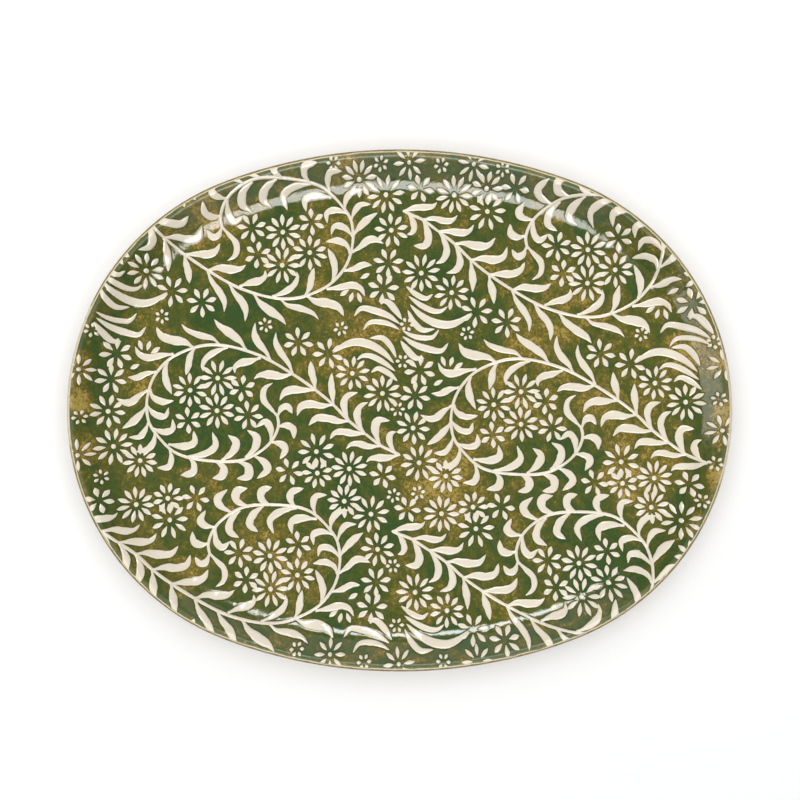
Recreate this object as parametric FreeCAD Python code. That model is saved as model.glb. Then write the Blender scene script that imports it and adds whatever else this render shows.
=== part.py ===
"""Oval stoneware serving platter with a coved wall, a foot ring, glaze coats and a raised floral pattern.

The outline is a four-arc oval: two end arcs and two side arcs that meet tangentially, so every inward
offset of it is again a four-arc oval and each surface of the wall is a surface of revolution about one
of the four arc centres. Millimetres, +Z up, +X along the platter's length. The origin is the middle of
the plane that the foot ring stands on.
"""

import math
import os

import FreeCAD
import Part

Vec = FreeCAD.Vector

# Driving dimensions
LENGTH = 412.75
WIDTH = 323.85
HEIGHT = 25.4
END_RADIUS = 152.0

# Section, measured square to the middle of the wall's thickness
WALL_SLOPE_DEG = 42.0
SECTION = 5.8
FLOOR_TOP = 9.0
COVE_RADIUS = 22.0
SLIP = 0.3
GLAZE = 0.4

# How far the upper coats and the pattern go over the lip, turned about its centre from the wall's face
LIP_TURN_DEG = 58.0

# Foot ring, measured inward from the rim
FOOT_OUTER_INSET = 36.0
FOOT_WIDTH = 7.0
FOOT_DRAFT = 1.2

# Raised pattern: how far it stands out, and how wide its strokes are
RELIEF = 0.35
STEM_WIDTH = 1.5
DAISY_PETAL_WIDTH = 2.6
STAR_PETAL_WIDTH = 2.9
BLOSSOM_PETAL_WIDTH = 1.5
RIM_STAR_PETAL_WIDTH = 2.2
DAISY_DOT_RADIUS = 1.35
RIM_STAR_DOT_RADIUS = 1.1
STALK_SHARE = 0.5
LEAF_SHARES = (0.12, 0.28, 0.46, 0.64, 0.82)
LEAF_SKEW = 1.1
LEAF_FULLNESS = 0.85
PLUME_FULLNESS = 0.7

# The stamp, in its own frame. Its vine, from the cut end to the inside of the loop
VINE = [
    (-110, 29.3), (-105.5, 27.2), (-98, 24), (-87.5, 16.7), (-77.4, 9.3), (-67, -0.5), (-55, -9.6),
    (-40.6, -18.7), (-26.9, -26.1), (-16.2, -30.3), (-3.5, -33.4), (8, -34.3), (19.5, -32.3), (33, -25.7),
    (41, -17.8), (46, -8.8), (48.2, 2), (47.9, 11), (45.3, 19.2), (38, 28.3), (30, 35), (20, 38.4),
    (6, 39.6), (-8, 39), (-17.5, 35.8), (-26.5, 29.3), (-31.8, 22), (-34, 14.5), (-33, 8.5),
]

# Its leaves: greatest width, then the midrib from the stalk to the tip
LEAVES = [
    (4.2, [(-110, 29), (-103, 31.4), (-97, 31.8), (-92, 32.6), (-89.7, 35)]),
    (3.9, [(-98, 24.1), (-91, 25), (-84.5, 23.6), (-79.6, 24.2), (-76.7, 27.2)]),
    (4.3, [(-88, 16.9), (-80.5, 17.2), (-73.8, 16.5), (-69, 17.6), (-66.4, 21.5)]),
    (4.9, [(-77.2, 9.4), (-71.5, 10), (-64.8, 8.6), (-57.2, 8.8), (-52.8, 13.6)]),
    (4.9, [(-67, -0.4), (-60, 0.8), (-53.5, 0), (-47.4, 1.8), (-45.2, 8)]),
    (4.8, [(-55, -9.2), (-47.5, -8.6), (-41, -8.4), (-36.4, -6), (-34, -1.2)]),
    (4.9, [(-41, -18.6), (-34.5, -16.6), (-27, -17.3), (-20.7, -16.6), (-17.4, -14)]),
    (4.4, [(-20.5, -27.6), (-14.5, -25.2), (-8.5, -23.6), (-5.2, -20.8), (-5.3, -17)]),
    (3.8, [(0, -33.2), (7, -30.2), (12.6, -26), (15, -21), (14.4, -17.1)]),
    (4.2, [(20.6, -31.4), (23, -26), (23.8, -20), (25, -14.2)]),
    (4.3, [(36.8, -22), (38, -15.5), (36.8, -9), (33.1, -1.5)]),
    (3.9, [(-106.8, 27.6), (-104, 23), (-103, 18.6), (-104.3, 15.8), (-107.2, 14.6)]),
    (5.0, [(-97.6, 23.8), (-94.9, 17.5), (-93.9, 12), (-96.2, 7.8), (-102.8, 7.8)]),
    (4.2, [(-87, 16.3), (-83.4, 9.6), (-82.3, 4.6), (-84.2, -0.4), (-88.7, -3.1)]),
    (4.2, [(-77.2, 9), (-74.7, 3), (-73.8, -2.4), (-76.2, -6.8), (-82, -8.9)]),
    (4.2, [(-67.2, -0.8), (-66.5, -6), (-65.4, -13), (-65.3, -20.2)]),
    (4.4, [(-55.4, -9.8), (-54.8, -14), (-52.9, -20), (-51.8, -27.2)]),
    (4.0, [(-40.9, -19), (-38.2, -25), (-32.8, -32), (-29.6, -38), (-29.4, -44.2)]),
    (4.3, [(-26.9, -26.3), (-24.2, -31.2), (-18.6, -37.4), (-16.1, -43), (-16.2, -49.4)]),
    (5.0, [(-11.5, -32), (-7.5, -37.4), (-0.5, -42.6), (5.6, -46.4), (9.2, -50.4)]),
    (3.7, [(5.2, -34.4), (9.5, -38.2), (18, -39.9), (25.5, -42.6), (29.3, -46.2)]),
    (5.6, [(21.2, -31.8), (27, -35), (35, -35.9), (41.4, -38.2), (44.8, -43.4)]),
    (4.4, [(33.6, -27), (41, -25.7), (49, -23.8), (54.6, -25.8), (57.3, -30.4)]),
    (3.9, [(43.8, -15), (49.5, -13.7), (55.5, -10.7), (60.8, -10.8)]),
    (4.4, [(48.2, -3.2), (53, 0.4), (57.6, 4.7), (62, 5.4), (67.2, 3.2)]),
    (4.4, [(48.3, 7.4), (52, 12.6), (56.6, 17.6), (62.6, 22)]),
    (3.5, [(46.6, 17.4), (48.8, 23), (52, 26.8), (58.3, 27.4)]),
    (3.9, [(42.2, 23.6), (43, 30), (46.8, 34.6), (53.4, 36.4)]),
    (3.9, [(32.4, 34), (31.2, 40), (33, 45), (39.7, 45.8)]),
    (4.6, [(20, 38.4), (17, 42.6), (17.8, 47.6), (25, 49.8)]),
    (5.0, [(4, 39.4), (-1.2, 43.2), (-0.6, 48.6), (5.3, 50.6)]),
    (5.2, [(-10, 38.9), (-16.4, 42), (-16.6, 48), (-9.9, 50)]),
    (4.6, [(-19.5, 34.6), (-26.6, 38.8), (-28.4, 43.6), (-22.4, 49.2)]),
    (4.5, [(-30, 25.4), (-36.4, 26.6), (-39, 30), (-36, 36)]),
    (4.5, [(-33.8, 15.4), (-39, 14.4), (-43.2, 16.6), (-44, 22.6)]),
    (4.2, [(-33.4, 8), (-35.6, 3.4), (-39.2, 2.6), (-42.2, 6.6)]),
    (3.7, [(-33.2, 9), (-28.6, 4.2), (-24.4, -0.2), (-23.4, -5), (-24.8, -9), (-29, -12)]),
    (3.9, [(46.8, -4), (44.8, 0.8), (40, 3.4), (36.4, 3.6), (31.6, 2.6)]),
    (3.8, [(48.4, 6.4), (42.6, 12), (36.4, 12.6), (34.6, 7.2)]),
    (3.9, [(44, 21), (36.8, 22.8), (31.4, 20.6), (31.8, 14.4)]),
    (4.8, [(33.4, 30.6), (24, 31.2), (17.6, 28.4), (18.3, 21.2)]),
    (4.4, [(20.8, 37.6), (10.6, 35.2), (4.3, 29.6), (6.7, 21.3)]),
    (4.9, [(0, 38.8), (-6.2, 33.4), (-8.3, 27), (-3.1, 22.6)]),
    (4.7, [(-14.6, 36), (-20, 30), (-20.8, 23), (-14.8, 18.8)]),
    (4.2, [(-29.8, 25), (-29.2, 17), (-25.4, 12.8), (-20.2, 16.6)]),
]

# Its plume leaves, which stand clear of the vine
PLUMES = [
    (4.0, [(66, -33.2), (71.6, -33.4), (76.6, -38.2), (81, -44)]),
    (4.0, [(51.4, -43.2), (55.4, -38.2), (62.5, -38.9), (72, -41.8), (79.7, -46.7)]),
    (3.0, [(57.4, -51.6), (61.2, -46.8), (68, -46.2), (74.4, -47.6), (79.7, -50.4)]),
    (3.3, [(-106.3, -17.6), (-100.4, -22.2), (-94, -24.9), (-89.8, -22.2)]),
    (3.4, [(-104.5, -23.8), (-97, -29), (-89.4, -32.4), (-84, -32.4), (-80.4, -29.6)]),
    (4.8, [(-103.5, -28.8), (-97, -35), (-88.6, -39.6), (-79.6, -41), (-72, -38.4), (-65.4, -33.4)]),
    (3.5, [(-104.7, -32.4), (-101, -39.4), (-95.4, -44.4), (-87.8, -43.9)]),
]

# Its daisies: centre, petals, inner and outer ends of a petal, and the first petal's direction
DAISIES = [
    (-79.2, 39.8, 11, 3.9, 11.1, 30),
    (-59.6, 43.6, 9, 3.6, 9.8, 0),
    (-58.3, 30.0, 9, 4.4, 11.8, 6),
    (50.6, 41.8, 11, 3.9, 10.8, 12),
    (67.4, 33.7, 10, 4.4, 11.4, 10),
    (71.8, 11.6, 9, 3.9, 10.8, 18),
    (4.6, 7.5, 10, 3.9, 11.4, 24),
    (21.9, -4.6, 10, 4.2, 10.8, 21),
    (5.2, -13.3, 10, 3.9, 11.4, 2),
    (-97.4, -9.2, 11, 4.4, 11.6, 12),
    (-78.1, -20.9, 10, 4.2, 10.6, 13),
]

# Its stars, which have no middle dot
STARS = [
    (-100.2, 43.0, 6, 2.2, 8.4, 51),
    (-42.1, 43.6, 6, 2.6, 8.6, 50),
    (-14.8, 9.3, 7, 2.6, 9.1, 21),
    (22.1, 14.7, 6, 2.2, 8.4, 37),
    (-10.3, -7.6, 6, 2.4, 8.6, 27),
    (71.0, -9.0, 7, 2.6, 9.4, 13),
    (68.5, -25.3, 7, 2.9, 10.1, 10),
    (-62.4, -32.7, 7, 2.9, 9.6, 6),
    (-43.6, -38.7, 7, 2.6, 9.4, 18),
]

# Single petals that show beside the leaves: centre, inner and outer ends, direction
LONE_PETALS = [
    (51, -24, 4.6, 11.3, -143),
    (51, -24, 4.6, 10.8, -105),
    (51, -24, 4.8, 11.4, -68),
    (53.4, -19.8, 0.8, 7.2, 30),
]

# Where the stamp was pressed: centre, turn, stretch along and across, and lean
IMPRESSIONS = [
    (-86.2, -98.9, 0.0, 1.007, 1.001, 0.011),
    (108.5, -103.6, 0.9, 1.017, 1.005, -0.023),
    (-78.4, 104.9, -2.5, 1.013, 1.002, 0.004),
    (113.5, 93.6, -1.2, 1.021, 1.011, 0.022),
    (-109.8, 7.0, 176.9, 1.014, 0.989, -0.002),
    (81.3, -1.4, 178.6, 1.010, 0.984, 0.003),
]

# Small six-petalled blossoms that fill the gaps: centre and the first petal's direction
BLOSSOMS = [
    (-40.9, 153.2, 0), (-11.6, 153.3, 20), (25.9, 152.3, 10), (63.9, 149.7, 30), (-190.9, 50.0, 15),
    (-149.4, 59.2, 31), (-84.3, 53.7, 38), (-36.9, 51.5, 11), (4.6, 54.1, 56), (42.5, 48.6, 13),
    (152.2, 48.1, 20), (195.0, 42.4, 42), (2.0, 30.9, 59), (-1.2, 0.8, 60), (-198.6, -4.1, 10),
    (198.5, 7.0, 45), (196.0, -32.9, 45), (-186.2, -41.5, 38), (188.0, -56.3, 52), (-3.8, -53.4, 19),
    (11.7, -51.7, 12), (-4.2, -97.7, 4), (-1.8, -135.1, 2), (-63.7, -148.1, 4), (-22.1, -155.9, 5),
    (27.2, -155.6, 58),
]
BLOSSOM_PETALS = 6
BLOSSOM_INNER = 1.8
BLOSSOM_REACH = 4.6

# Eight-petalled stars with a dot, along the lip: centre and the first petal's direction
RIM_STARS = [
    (-43.1, -151.4, 0), (-0.5, -157.1, 7), (48.4, -155.2, 4), (6.0, 154.0, 6), (46.0, 152.6, 31),
    (-198.8, 25.5, 0), (-199.3, -27.7, 3), (201.0, 28.0, 12), (200.1, -12.4, 13),
]
RIM_STAR_PETALS = 8
RIM_STAR_INNER = 3.2
RIM_STAR_REACH = 9.8

# Worked out from the above
HALF = SECTION / 2
FLOOR_MIDDLE = FLOOR_TOP - HALF
CLAY_TOP = HALF - GLAZE - SLIP
CLAY_BOTTOM = HALF - GLAZE
LIP_TURN = math.radians(LIP_TURN_DEG)
SLIP_TOP = HALF - GLAZE
FLAT_INSET = 34.0

# A motif that lies wholly nearer the rim than this is left out, and so is a cut piece smaller than this
EDGE_INSET = 2.5
SMALLEST_PIECE = 0.2

END_CENTRE_X = LENGTH / 2 - END_RADIUS
SIDE_DROP = WIDTH / 2 - END_RADIUS
SIDE_CENTRE_Y = (END_CENTRE_X**2 - SIDE_DROP**2) / (2 * SIDE_DROP)
SIDE_RADIUS = WIDTH / 2 + SIDE_CENTRE_Y
SIDE_HALF_ANGLE = math.atan2(END_CENTRE_X, SIDE_CENTRE_Y)
SLOPE = math.radians(WALL_SLOPE_DEG)


def outline(inset):
    """The closed oval wire that lies this far inside the rim, at z = 0."""
    end = END_RADIUS - inset
    side = SIDE_RADIUS - inset
    corner_x = END_CENTRE_X + end * math.sin(SIDE_HALF_ANGLE)
    corner_y = end * math.cos(SIDE_HALF_ANGLE)
    right = Part.Arc(
        Vec(corner_x, -corner_y), Vec(END_CENTRE_X + end, 0), Vec(corner_x, corner_y)
    )
    top = Part.Arc(
        Vec(corner_x, corner_y), Vec(0, side - SIDE_CENTRE_Y), Vec(-corner_x, corner_y)
    )
    left = Part.Arc(
        Vec(-corner_x, corner_y), Vec(-END_CENTRE_X - end, 0), Vec(-corner_x, -corner_y)
    )
    bottom = Part.Arc(
        Vec(-corner_x, -corner_y), Vec(0, SIDE_CENTRE_Y - side), Vec(corner_x, -corner_y)
    )
    return Part.Wire([arc.toShape() for arc in (right, top, left, bottom)])


def oval_slab(inset, low, high):
    """A flat oval plate between two heights."""
    slab = Part.Face(outline(inset)).extrude(Vec(0, 0, high - low))
    slab.translate(Vec(0, 0, low))
    return slab


def swept_ring(edges):
    """Turns a closed section, drawn as edges in (inset, height), about each of the four arc centres."""
    side_deg = 2 * math.degrees(SIDE_HALF_ANGLE)
    end_deg = 180.0 - side_deg
    arcs = [
        (Vec(END_CENTRE_X, 0, 0), END_RADIUS, 0.0, end_deg),
        (Vec(0, -SIDE_CENTRE_Y, 0), SIDE_RADIUS, 90.0, side_deg),
        (Vec(-END_CENTRE_X, 0, 0), END_RADIUS, 180.0, end_deg),
        (Vec(0, SIDE_CENTRE_Y, 0), SIDE_RADIUS, 270.0, side_deg),
    ]
    sectors = []
    for centre, radius, facing, sweep in arcs:
        wire = Part.Wire([edge(radius) for edge in edges])
        sector = Part.Face(wire).revolve(Vec(0, 0, 0), Vec(0, 0, 1), sweep)
        sector.rotate(Vec(0, 0, 0), Vec(0, 0, 1), facing - sweep / 2)
        sector.translate(centre)
        sectors.append(sector)
    return sectors


def place(radius, point):
    """A point of the section, (inset, height), in the plane of the arc with this radius."""
    return Vec(radius - point[0], 0, point[1])


def line(start, end):
    return lambda radius: Part.LineSegment(
        place(radius, start), place(radius, end)
    ).toShape()


def arc(start, middle, end):
    return lambda radius: Part.Arc(
        place(radius, start), place(radius, middle), place(radius, end)
    ).toShape()


def lip_point(offset, along):
    """A point by the lip's centre: offset square to the wall, towards the food, and along it, outwards."""
    centre = (HALF, HEIGHT - HALF)
    return (
        centre[0] + offset * math.sin(SLOPE) - along * math.cos(SLOPE),
        centre[1] + offset * math.cos(SLOPE) + along * math.sin(SLOPE),
    )


def on_lip(radius, turn):
    """A point on a circle about the lip's centre, turned outwards from the wall's upper face."""
    return lip_point(radius * math.cos(turn), radius * math.sin(turn))


def skin(offset):
    """Key points of the surface this far from mid-thickness: wall top, cove top, cove middle, cove foot."""
    rise = HEIGHT - HALF - FLOOR_MIDDLE
    middle_radius = COVE_RADIUS + HALF
    straight = (rise - middle_radius * (1 - math.cos(SLOPE))) / math.sin(SLOPE)
    cove_centre = (
        HALF + straight * math.cos(SLOPE) + middle_radius * math.sin(SLOPE),
        FLOOR_MIDDLE + middle_radius,
    )
    radius = middle_radius - offset

    def on_cove(angle):
        return (
            cove_centre[0] - radius * math.sin(angle),
            cove_centre[1] - radius * math.cos(angle),
        )

    return lip_point(offset, 0), on_cove(SLOPE), on_cove(SLOPE / 2), on_cove(0)


def coat_edges(low, high, inner, over_lip=False):
    """Section of the coat between two offsets, from the wall's top or the lip to this inset."""
    low_wall, low_cove, low_mid, low_foot = skin(low)
    high_wall, high_cove, high_mid, high_foot = skin(high)
    low_end = (inner, FLOOR_MIDDLE + low)
    high_end = (inner, FLOOR_MIDDLE + high)
    return [
        line(low_wall, low_cove),
        arc(low_cove, low_mid, low_foot),
        line(low_foot, low_end),
        line(low_end, high_end),
        line(high_end, high_foot),
        arc(high_foot, high_mid, high_cove),
        line(high_cove, high_wall),
        *(lip_edges(low, high) if over_lip else [line(high_wall, low_wall)]),
    ]


def lip_edges(low, high):
    """The stretch of a coat's section that goes over the lip, from its outer face round to its inner."""
    return [
        arc(on_lip(high, 0), on_lip(high, LIP_TURN / 2), on_lip(high, LIP_TURN)),
        line(on_lip(high, LIP_TURN), on_lip(low, LIP_TURN)),
        arc(on_lip(low, LIP_TURN), on_lip(low, LIP_TURN / 2), on_lip(low, 0)),
    ]


def one_solid(shapes):
    """Fuses touching shapes and drops the seams between them."""
    fused = shapes[0].multiFuse(shapes[1:]).removeSplitter()
    return fused


def coat(low, high):
    """A coat over the whole upper face, between two offsets from mid-thickness."""
    floor = oval_slab(FLAT_INSET, FLOOR_MIDDLE + low, FLOOR_MIDDLE + high)
    return one_solid([floor, *swept_ring(coat_edges(low, high, FLAT_INSET, over_lip=True))])


def clay_body():
    """The pressed stoneware slab: floor, cove, wall and rounded lip in one piece."""
    lip_in, lip_tip, lip_out = (on_lip(CLAY_TOP, turn) for turn in (0, math.pi / 2, math.pi))
    lip_step = lip_point(-CLAY_BOTTOM, 0)
    _, in_cove, in_mid, in_foot = skin(CLAY_TOP)
    _, out_cove, out_mid, out_foot = skin(-CLAY_BOTTOM)
    top_end = (FLAT_INSET, FLOOR_MIDDLE + CLAY_TOP)
    bottom_end = (FLAT_INSET, FLOOR_MIDDLE - CLAY_BOTTOM)
    edges = [
        line(top_end, in_foot),
        arc(in_foot, in_mid, in_cove),
        line(in_cove, lip_in),
        arc(lip_in, lip_tip, lip_out),
        line(lip_out, lip_step),
        line(lip_step, out_cove),
        arc(out_cove, out_mid, out_foot),
        line(out_foot, bottom_end),
        line(bottom_end, top_end),
    ]
    floor = oval_slab(
        FLAT_INSET, FLOOR_MIDDLE - CLAY_BOTTOM, FLOOR_MIDDLE + CLAY_TOP
    )
    return one_solid([floor, *swept_ring(edges)])


def rim_glaze():
    """The iron-brown glaze on the outer side of the lip, between the upper and the lower coats."""
    middle = (LIP_TURN + math.pi) / 2
    edges = [
        arc(on_lip(CLAY_TOP, LIP_TURN), on_lip(CLAY_TOP, middle), on_lip(CLAY_TOP, math.pi)),
        line(on_lip(CLAY_TOP, math.pi), on_lip(HALF, math.pi)),
        arc(on_lip(HALF, math.pi), on_lip(HALF, middle), on_lip(HALF, LIP_TURN)),
        line(on_lip(HALF, LIP_TURN), on_lip(CLAY_TOP, LIP_TURN)),
    ]
    return one_solid(swept_ring(edges))


def foot_ring():
    """The drafted oval ring under the floor, wiped bare of glaze, that the platter stands on."""
    top = FLOOR_MIDDLE - CLAY_BOTTOM
    outer = FOOT_OUTER_INSET
    inner = FOOT_OUTER_INSET + FOOT_WIDTH
    corners = [
        (outer, top),
        (inner, top),
        (inner - FOOT_DRAFT, 0),
        (outer + FOOT_DRAFT, 0),
    ]
    edges = [
        line(start, corners[(i + 1) % len(corners)]) for i, start in enumerate(corners)
    ]
    return one_solid(swept_ring(edges))


def underside_glaze():
    """The coat on the outside of the wall, down to the outside of the foot ring."""
    return one_solid(
        swept_ring(coat_edges(-CLAY_BOTTOM, -HALF, FOOT_OUTER_INSET))
    )


def base_glaze():
    """The coat on the underside of the floor, inside the foot ring."""
    return oval_slab(
        FOOT_OUTER_INSET + FOOT_WIDTH, FLOOR_MIDDLE - HALF, FLOOR_MIDDLE - CLAY_BOTTOM
    )


def pressed(impression):
    """The map from the stamp's frame to the platter's for one impression."""
    x, y, turn, along, across, lean = impression
    cos, sin = math.cos(math.radians(turn)), math.sin(math.radians(turn))

    def put(point):
        u = along * point[0] + lean * point[1]
        v = across * point[1]
        return (x + cos * u - sin * v, y + sin * u + cos * v)

    return put


def smooth_curve(points):
    """A smooth curve through the points, at z = 0."""
    curve = Part.BSplineCurve()
    curve.interpolate([Vec(x, y, 0) for x, y in points])
    return curve


def beside(points, shares, half_widths):
    """Points to the left and the right of a midline, at these shares of its length."""
    curve = smooth_curve(points)
    length = curve.length()
    left, right = [], []
    for share, half in zip(shares, half_widths):
        at = curve.parameterAtDistance(length * share, curve.FirstParameter)
        spot = curve.value(at)
        along = curve.tangent(at)[0]
        left.append((spot.x - along.y * half, spot.y + along.x * half))
        right.append((spot.x + along.y * half, spot.y - along.x * half))
    return left, right


def closed_by(sides):
    """A face between curves that are each given by points: two make a line, three an arc, more a spline."""
    edges = []
    for side in sides:
        spots = [Vec(x, y, 0) for x, y in side]
        if len(spots) == 2:
            edges.append(Part.LineSegment(*spots).toShape())
        elif len(spots) == 3:
            edges.append(Part.Arc(*spots).toShape())
        else:
            edges.append(smooth_curve(side).toShape())
    return Part.Face(Part.Wire(edges))


def vine_face(put):
    """The vine: a ribbon of even width about its midline."""
    count = 2 * len(VINE)
    shares = [i / count for i in range(count + 1)]
    midline = [put(point) for point in VINE]
    left, right = beside(midline, shares, [STEM_WIDTH / 2] * len(shares))
    return closed_by([left, [left[-1], right[-1]], right[::-1], [right[0], left[0]]])


def leaf_half_width(width, share):
    """Half the width of a leaf: at least a thin stalk near the vine, fullest past the middle."""
    body = width / 2 * math.sin(math.pi * share**LEAF_SKEW) ** LEAF_FULLNESS
    stalk = STEM_WIDTH / 2 * (1 - share / STALK_SHARE)
    return max(body, stalk)


def leaf_face(width, midrib, put):
    """A curved leaf: blunt where it leaves the vine, pointed at its tip."""
    points = [put(point) for point in midrib]
    shares = (0.0, *LEAF_SHARES)
    halves = [leaf_half_width(width, share) for share in shares]
    left, right = beside(points, shares, halves)
    tip = points[-1]
    return closed_by([[*left, tip], [tip, *right[::-1]], [right[0], left[0]]])


def plume_face(width, midrib, put):
    """A plume leaf, pointed at both ends."""
    points = [put(point) for point in midrib]
    halves = [width / 2 * math.sin(math.pi * share) ** PLUME_FULLNESS for share in LEAF_SHARES]
    left, right = beside(points, LEAF_SHARES, halves)
    start, tip = points[0], points[-1]
    return closed_by([[start, *left, tip], [tip, *right[::-1], start]])


def petal_face(centre, inner, reach, angle, width, put):
    """A petal between two arcs, pointed at both ends."""
    cos, sin = math.cos(math.radians(angle)), math.sin(math.radians(angle))

    def at(out, aside):
        return put((centre[0] + out * cos - aside * sin, centre[1] + out * sin + aside * cos))

    base, tip = at(inner, 0), at(reach, 0)
    middle = (inner + reach) / 2
    one, other = at(middle, width / 2), at(middle, -width / 2)
    return closed_by([[base, one, tip], [tip, other, base]])


def dot_face(centre, radius, put):
    x, y = put(centre)
    circle = Part.Circle(Vec(x, y, 0), Vec(0, 0, 1), radius).toShape()
    return Part.Face(Part.Wire(circle))


def flower_faces(centre, petals, inner, reach, turn, width, put):
    return [
        petal_face(centre, inner, reach, turn + 360 * i / petals, width, put)
        for i in range(petals)
    ]


def stamped_faces():
    """The outlines of every stamped motif, by kind, in the platter's frame."""
    faces = {name: [] for name in ("vine_stems", "vine_leaves", "plume_leaves", "daisies", "stars")}
    for impression in IMPRESSIONS:
        put = pressed(impression)
        faces["vine_stems"].append(vine_face(put))
        faces["vine_leaves"] += [leaf_face(width, midrib, put) for width, midrib in LEAVES]
        faces["plume_leaves"] += [plume_face(width, midrib, put) for width, midrib in PLUMES]
        for x, y, petals, inner, reach, turn in DAISIES:
            faces["daisies"] += flower_faces(
                (x, y), petals, inner, reach, turn, DAISY_PETAL_WIDTH, put
            )
            faces["daisies"].append(dot_face((x, y), DAISY_DOT_RADIUS, put))
        for x, y, petals, inner, reach, turn in STARS:
            faces["stars"] += flower_faces(
                (x, y), petals, inner, reach, turn, STAR_PETAL_WIDTH, put
            )
        for x, y, inner, reach, turn in LONE_PETALS:
            faces["stars"].append(
                petal_face((x, y), inner, reach, turn, DAISY_PETAL_WIDTH, put)
            )
    return faces


def filler_faces():
    """The outlines of the blossoms and rim stars that were pressed one by one."""

    def put(point):
        return point

    blossoms = []
    for x, y, turn in BLOSSOMS:
        blossoms += flower_faces(
            (x, y), BLOSSOM_PETALS, BLOSSOM_INNER, BLOSSOM_REACH, turn, BLOSSOM_PETAL_WIDTH, put
        )
    for x, y, turn in RIM_STARS:
        blossoms += flower_faces(
            (x, y), RIM_STAR_PETALS, RIM_STAR_INNER, RIM_STAR_REACH, turn, RIM_STAR_PETAL_WIDTH, put
        )
        blossoms.append(dot_face((x, y), RIM_STAR_DOT_RADIUS, put))
    return {"blossoms": blossoms}


def inset_of(x, y):
    """How far a point in plan lies inside the rim."""
    x, y = abs(x), abs(y)
    if (x - END_CENTRE_X) * SIDE_CENTRE_Y > y * END_CENTRE_X:
        return END_RADIUS - math.hypot(x - END_CENTRE_X, y)
    return SIDE_RADIUS - math.hypot(x, y + SIDE_CENTRE_Y)


def raised(faces, skin_coat):
    """Solids of even height over the upper face, whose outlines in plan are these faces."""
    cove_foot = skin(HALF)[3][0]
    solids = []
    for face in faces:
        insets = [inset_of(v.X, v.Y) for v in face.Vertexes]
        insets += [inset_of(p.x, p.y) for edge in face.Edges for p in edge.discretize(5)]
        if max(insets) < EDGE_INSET:
            continue
        if min(insets) > cove_foot:
            solid = face.extrude(Vec(0, 0, RELIEF))
            solid.translate(Vec(0, 0, FLOOR_TOP))
            solids.append(solid)
            continue
        column = face.extrude(Vec(0, 0, HEIGHT))
        column.translate(Vec(0, 0, FLOOR_TOP - RELIEF))
        cut = skin_coat.common(column)
        solids += [piece for piece in cut.Solids if piece.Volume > SMALLEST_PIECE]
    return Part.makeCompound(solids)


def main():
    os.makedirs("parts", exist_ok=True)
    skin_coat = coat(HALF, HALF + RELIEF)
    patterns = stamped_faces() | filler_faces()
    relief = {name: raised(faces, skin_coat) for name, faces in patterns.items()}
    nodes = {
        "clay_body": clay_body(),
        "foot_ring": foot_ring(),
        "cream_slip": coat(CLAY_TOP, SLIP_TOP),
        "green_glaze": coat(SLIP_TOP, HALF),
        "rim_glaze": rim_glaze(),
        "underside_glaze": underside_glaze(),
        "base_glaze": base_glaze(),
        **relief,
    }
    for name, shape in nodes.items():
        shape.exportStep(f"parts/{name}.step")
        print(name, shape.isValid(), len(shape.Solids), round(shape.Volume, 1))


main()
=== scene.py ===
"""Oval stoneware platter with a raised cream vine pattern on mottled green glaze.

Everything below is worked out in millimetres in the CAD's own frame and scaled to metres as each mesh is
made. The platter's surface is a formula of the inset, the distance in plan from the oval rim.
"""

import math

import bmesh
import bpy
import numpy as np
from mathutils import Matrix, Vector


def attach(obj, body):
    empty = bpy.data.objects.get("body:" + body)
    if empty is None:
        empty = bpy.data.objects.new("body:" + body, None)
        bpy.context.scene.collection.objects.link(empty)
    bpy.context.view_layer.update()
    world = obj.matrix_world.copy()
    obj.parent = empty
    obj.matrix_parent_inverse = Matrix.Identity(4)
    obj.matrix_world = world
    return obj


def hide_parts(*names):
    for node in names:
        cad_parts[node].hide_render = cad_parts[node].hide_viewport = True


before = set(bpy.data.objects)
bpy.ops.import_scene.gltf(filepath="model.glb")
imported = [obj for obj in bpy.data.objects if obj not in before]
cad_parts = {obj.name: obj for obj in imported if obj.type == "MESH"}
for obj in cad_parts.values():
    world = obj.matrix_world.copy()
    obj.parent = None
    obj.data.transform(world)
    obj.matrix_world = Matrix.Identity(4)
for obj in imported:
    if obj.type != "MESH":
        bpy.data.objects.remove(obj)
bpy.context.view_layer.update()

MM = 0.001
TINY = 1e-9

# The platter, as in the CAD. HALF is half the thickness of its wall and floor.
LENGTH = 412.75
WIDTH = 323.85
HEIGHT = 25.4
END_RADIUS = 152.0
SLOPE = math.radians(42.0)
HALF = 2.9
FLOOR_TOP = 9.0
COVE_RADIUS = 22.0
GLAZE = 0.4
FOOT_OUTER_INSET = 36.0
FOOT_WIDTH = 7.0
FOOT_DRAFT = 1.2

# The rim is four arcs: two ends, and two sides whose centres lie across the platter
END_CENTRE_X = LENGTH / 2 - END_RADIUS
SIDE_DROP = WIDTH / 2 - END_RADIUS
SIDE_CENTRE_Y = (END_CENTRE_X**2 - SIDE_DROP**2) / (2 * SIDE_DROP)
SIDE_RADIUS = WIDTH / 2 + SIDE_CENTRE_Y
SIDE_HALF_ANGLE = math.atan2(END_CENTRE_X, SIDE_CENTRE_Y)

# The section at mid-thickness: floor, cove, straight wall, and the round lip's centre at its top
FLOOR_MIDDLE = FLOOR_TOP - HALF
MIDDLE_RADIUS = COVE_RADIUS + HALF
WALL_RUN = (HEIGHT - HALF - FLOOR_MIDDLE - MIDDLE_RADIUS * (1 - math.cos(SLOPE))) / math.sin(SLOPE)
COVE_FOOT = HALF + WALL_RUN * math.cos(SLOPE) + MIDDLE_RADIUS * math.sin(SLOPE)

# Where the upper coat and the relief stop on the lip
LIP_TURN = math.radians(58.0)
LIP_INSET = HALF + HALF * math.sin(SLOPE - LIP_TURN)

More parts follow.
